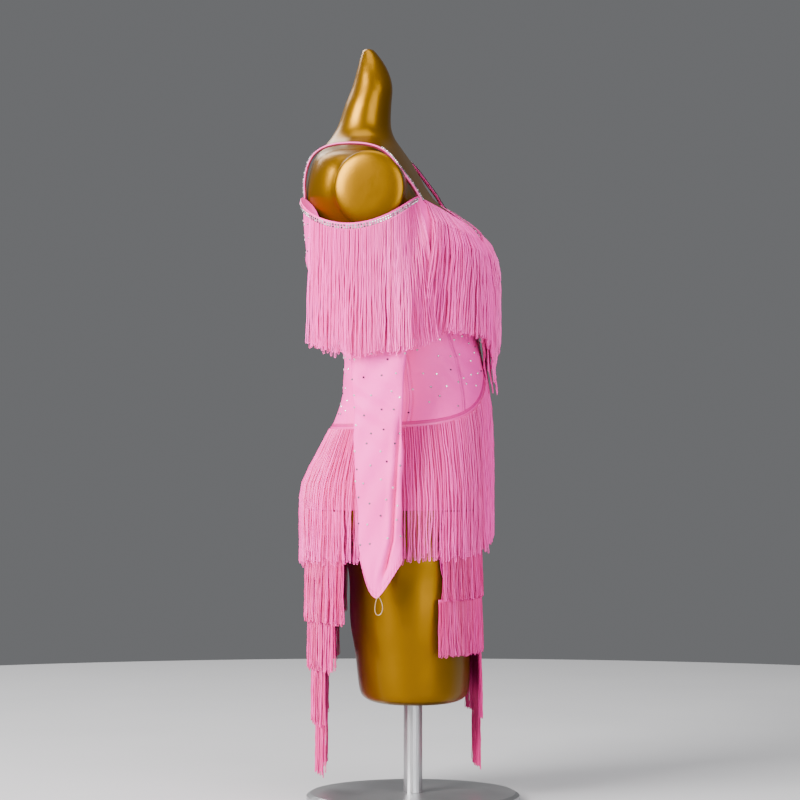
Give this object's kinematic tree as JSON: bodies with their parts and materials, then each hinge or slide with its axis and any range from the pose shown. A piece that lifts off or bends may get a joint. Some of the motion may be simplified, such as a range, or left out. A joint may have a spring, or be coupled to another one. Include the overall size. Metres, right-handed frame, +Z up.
{
  "type": "latin dance dress on a dress form",
  "caption": "Fringed latin dance dress with off-the-shoulder long sleeves and thin straps, on a limbless dress form with a pole and round base.",
  "frame": {"origin": "on the floor under the middle of the whole piece", "axes": "+Z up along the form, -Y to the wearer's front, -X to the wearer's right"},
  "size_m": [0.433, 0.345, 1.129],
  "materials": {
    "form_gold": "glossy gold lacquer on a moulded shell",
    "stand_steel": "satin",
    "stretch_jersey": "pink stretch jersey with a soft sheen",
    "rayon_fringe": "pink looped rayon threads",
    "rhinestones": "cut stones in two rows of metal cups",
    "satin_binding": "deep pink flat binding and piping",
    "clear_elastic": "pale clear elastic"
  },
  "bodies": {
    "root": {"form_body": "form_gold", "form_shoulder_cap_right": "form_gold", "form_shoulder_cap_left": "form_gold", "form_base": "stand_steel", "form_pole": "stand_steel", "form_collar": "stand_steel", "bodice_front_centre": "stretch_jersey", "bodice_front_side_right": "stretch_jersey", "bodice_front_side_left": "stretch_jersey", "bodice_back": "stretch_jersey", "brief_front": "stretch_jersey", "brief_back": "stretch_jersey", "tail_front": "stretch_jersey", "tail_back": "stretch_jersey", "fringe_front_row_2": "rayon_fringe", "fringe_front_row_3": "rayon_fringe", "fringe_front_row_4": "rayon_fringe", "fringe_front_row_5": "rayon_fringe", "fringe_back_row_2": "rayon_fringe", "fringe_back_row_3": "rayon_fringe", "fringe_back_row_4": "rayon_fringe", "fringe_back_row_5": "rayon_fringe", "hip_binding_front": "satin_binding", "hip_binding_back": "satin_binding", "fringe_hip_front": "rayon_fringe", "fringe_hip_back": "rayon_fringe", "neckline_trim_right": "rhinestones", "fringe_bust_right": "rayon_fringe", "sleeve_right": "stretch_jersey", "sleeve_trim_right": "rhinestones", "fringe_sleeve_right": "rayon_fringe", "finger_loop_right": "clear_elastic", "strap_right": "satin_binding", "neckline_trim_left": "rhinestones", "fringe_bust_left": "rayon_fringe", "sleeve_left": "stretch_jersey", "sleeve_trim_left": "rhinestones", "fringe_sleeve_left": "rayon_fringe", "finger_loop_left": "clear_elastic", "strap_left": "satin_binding"}
  },
  "joints": []
}
